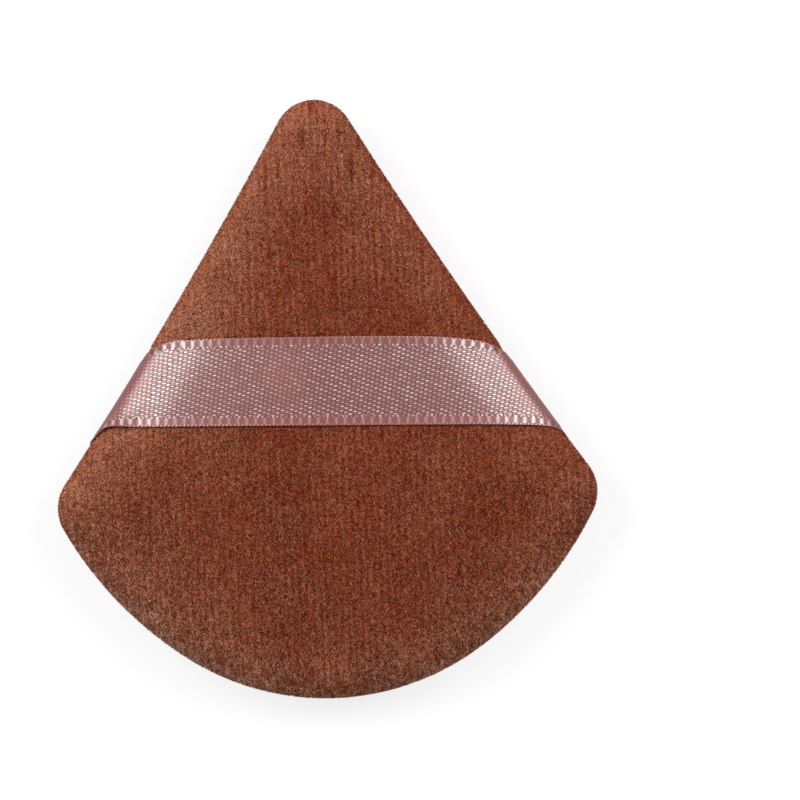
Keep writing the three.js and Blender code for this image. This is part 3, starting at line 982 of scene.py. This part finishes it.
def ribbon_layer(side, across, shares, runs, level, woven):
    """Places on the ribbon's half at a level from its middle, and the tones of its weave."""
    insets, heights, out, up, section_runs = side_section()
    row = np.repeat(across[:, None], len(shares) + len(runs), axis=1)
    crown, edge = slice(0, len(shares)), slice(len(shares), None)
    crown_along = shares * distance_at_run(row[:, :1], section_runs[0], side)
    edge_along = distance_at_run(row[:, edge], runs, side)
    along = np.concatenate([crown_along, edge_along], axis=1)
    share = row / ribbon_width + 0.5
    drawn = row - share * drawn_narrow * (1 - along / narrow_run)
    flat = ribbon_centre + along[..., None] * ribbon_along + drawn[..., None] * ribbon_across
    centre = hollow_centre(side)
    spokes = flat - centre
    radii = np.linalg.norm(spokes, axis=-1)
    inset = radii - hollow_radius
    inset[:, edge] = np.interp(runs, section_runs, np.minimum.accumulate(insets))
    relief, tone = weave(along, row, inset)
    outer_tenths = np.clip(abs(10 * share - 5) - 4, 0, 1)
    sunk = sunk_side + sunk_selvedge * outer_tenths
    relief = level + woven * relief - sunk * np.exp(-np.maximum(inset, 0) / sunk_reach)
    if side < 0:
        relief += loose_corner * np.exp(-loose_fall * share - (inset / loose_inset - 1) ** 2)
    turn = side * drawn_down(np.maximum(inset, 0), share, side) / radii
    cos, sin = np.cos(turn)[..., None], np.sin(turn)[..., None]
    spokes = cos * spokes + sin * spokes[..., ::-1] * [-1, 1]
    radii[:, edge] = (
        hollow_radius + np.interp(runs, section_runs, insets)
        - np.interp(runs, section_runs, out) * relief[:, edge])
    flat = centre + radii[..., None] * spokes / np.linalg.norm(spokes, axis=-1)[..., None]
    share = crown_share(flat[:, crown])
    z = np.interp(runs, section_runs, heights) + np.interp(runs, section_runs, up) * relief[:, edge]
    crown_z = edge_top + crown_rise * (1 - share**2) + ribbon_level + relief[:, crown]
    z = seam_level + np.concatenate([crown_z, z], axis=1) - shoulder_press(inset)
    return np.concatenate([flat, z[..., None]], axis=-1), tone


def ribbon_half(name, side):
    """One half of the ribbon, from its middle round a side and in to the end of its tail."""
    across = np.linspace(-ribbon_width / 2, ribbon_width / 2, rows + 1)
    shares = np.linspace(0, 1, crown_columns + 1)[:-1]
    section_runs = side_section()[-1]
    turns = [section_runs[at] for at in (0, section_edge_steps - 1, -2, -1)]
    steps = [edge_columns, lip_columns, tail_columns]
    runs = np.concatenate([
        np.linspace(start, end, count + 1)[:-1]
        for start, end, count in zip(turns, turns[1:], steps)
    ] + [turns[-1:]])
    top, tone = ribbon_layer(side, across, shares, runs, ribbon_body / 2, 1)
    high, wide = tone.shape
    bottom, _ = ribbon_layer(
        side, across[::coarse], shares[::coarse], runs[::coarse], -ribbon_body / 2, 0)
    places = np.concatenate([top.reshape(-1, 3), bottom.reshape(-1, 3)])

    def grid_faces(index):
        return np.stack([
            index[:-1, :-1], index[:-1, 1:], index[1:, 1:], index[1:, :-1]], axis=-1).reshape(-1, 4)

    def border(index):
        return np.concatenate([index[0], index[1:, -1], index[-1, -2::-1], index[-2:0:-1, 0]])

    upper = np.arange(high * wide).reshape(high, wide)
    under = high * wide + np.arange(bottom.shape[0] * bottom.shape[1]).reshape(bottom.shape[:2])
    upper_border, under_border = border(upper), border(under)
    upper_steps = [np.roll(upper_border, -step)[::coarse] for step in range(coarse, -1, -1)]
    walls = np.column_stack([*upper_steps, under_border, np.roll(under_border, -1)])
    groups = [np.vstack([grid_faces(upper), grid_faces(under)[:, ::-1]]), walls]
    if side < 0:
        groups = [group[:, ::-1] for group in groups]
    piece = smooth(mesh_piece(name, places, groups))
    piece.data.set_sharp_from_angle(angle=sharp_angle)
    tones = np.concatenate([tone.ravel(), np.full(under.size, underside_tone)])
    woven = piece.data.attributes.new("tone", "FLOAT", "POINT")
    woven.data.foreach_set("value", tones.astype(np.float32))
    return piece


# Polyester satin, woven from smooth filaments. The long floats lie side by side and shine in a
# broad sheen, while the gaps between them are dark and dull, so the roughness follows the weave.
satin_material, tree, shader = new_material("polyester_satin")
tone = node(tree, "ShaderNodeAttribute", attribute_name="tone").outputs["Fac"]
ramp = node(tree, "ShaderNodeValToRGB", {"Fac": tone})
stops = ramp.color_ramp.elements
for at in (0.3, 0.6, 0.8):
    stops.new(at)
for stop, code in zip(stops, ("#300a05", "#82362b", "#a97068", "#c29fa1", "#dfccd2")):
    stop.color = linear(code)
tree.links.new(ramp.outputs["Color"], shader.inputs["Base Color"])
gloss = node(
    tree, "ShaderNodeMapRange",
    {"Value": tone, "From Min": 0.15, "From Max": 0.6, "To Min": 0.6, "To Max": 0.24})
tree.links.new(gloss.outputs[0], shader.inputs["Roughness"])
shader.inputs["Metallic"].default_value = 0.05
shader.inputs["IOR"].default_value = 1.85  # polyester has 1.6, but the satin's sheen is stronger
shader.inputs["Coat Weight"].default_value = 0.15
shader.inputs["Coat IOR"].default_value = 1.8
shader.inputs["Coat Roughness"].default_value = 0.24

for name, side in (("ribbon_left", -1), ("ribbon_right", 1)):
    half = ribbon_half(name, side)
    half.data.materials.append(satin_material)
    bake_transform(half)
    word = name.split("_")[1]
    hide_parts("strap_middle", f"strap_{word}_side", f"strap_{word}_tail")

# Studio. A matt white table and two square softboxes, one at either side of the puff, in a
# white room that fills the shadows a little.
floor_half = 1.0  # in metres
floor_corners = np.array([[-1, -1, 0], [1, -1, 0], [1, 1, 0], [-1, 1, 0]])
floor_colour = "#e7e7e7"  # as it lights the puff
floor_seen_colour = "#898989"  # as the camera sees it, which also sees it glow, so it is white
floor_glow = 0.79
floor = mesh_piece("floor", floor_half * floor_corners, [np.array([[0, 1, 2, 3]])])
floor_material, tree, shader = new_material("white_table")
rays = node(tree, "ShaderNodeLightPath")
seen = node(
    tree, "ShaderNodeMath", {0: rays.outputs["Is Camera Ray"], 1: rays.outputs["Is Glossy Ray"]},
    operation="ADD")
seen = node(
    tree, "ShaderNodeMath", {0: seen.outputs[0], 1: rays.outputs["Is Transmission Ray"]},
    operation="ADD", use_clamp=True)
floor_tone = node(
    tree, "ShaderNodeMix",
    {0: seen.outputs[0], 6: linear(floor_colour), 7: linear(floor_seen_colour)},
    data_type="RGBA")
floor_light = node(
    tree, "ShaderNodeMath", {0: seen.outputs[0], 1: floor_glow}, operation="MULTIPLY")
tree.links.new(floor_tone.outputs[2], shader.inputs["Base Color"])
tree.links.new(floor_light.outputs[0], shader.inputs["Emission Strength"])
shader.inputs["Emission Color"].default_value = linear("#ffffff")
shader.inputs["Roughness"].default_value = 1
shader.inputs["Specular IOR Level"].default_value = 0
floor.data.materials.append(floor_material)

lamp_size = 0.36  # in metres
lamp_distance = 0.6
lamp_elevation = math.radians(46)
room_light = 0.25


def softbox(name, azimuth, watts):
    """A square area light aimed at the puff."""
    lamp = bpy.data.lights.new(name, "AREA")
    lamp.shape = "SQUARE"
    lamp.size = lamp_size
    lamp.energy = watts
    light = bpy.data.objects.new(name, lamp)
    bpy.context.scene.collection.objects.link(light)
    level = lamp_distance * math.cos(lamp_elevation)
    rise = lamp_distance * math.sin(lamp_elevation)
    light.location = (level * math.cos(azimuth), level * math.sin(azimuth), rise)
    light.rotation_euler = (math.pi / 2 - lamp_elevation, 0, azimuth + math.pi / 2)


softbox("softbox_left", math.radians(150), 2.45)
softbox("softbox_right", math.radians(30), 2.1)

world = bpy.data.worlds.new("studio")
world.use_nodes = True
bpy.context.scene.world = world
background = world.node_tree.nodes["Background"]
background.inputs["Color"].default_value = linear("#ffffff")
background.inputs["Strength"].default_value = room_light

bpy.context.scene.view_settings.view_transform = "Standard"
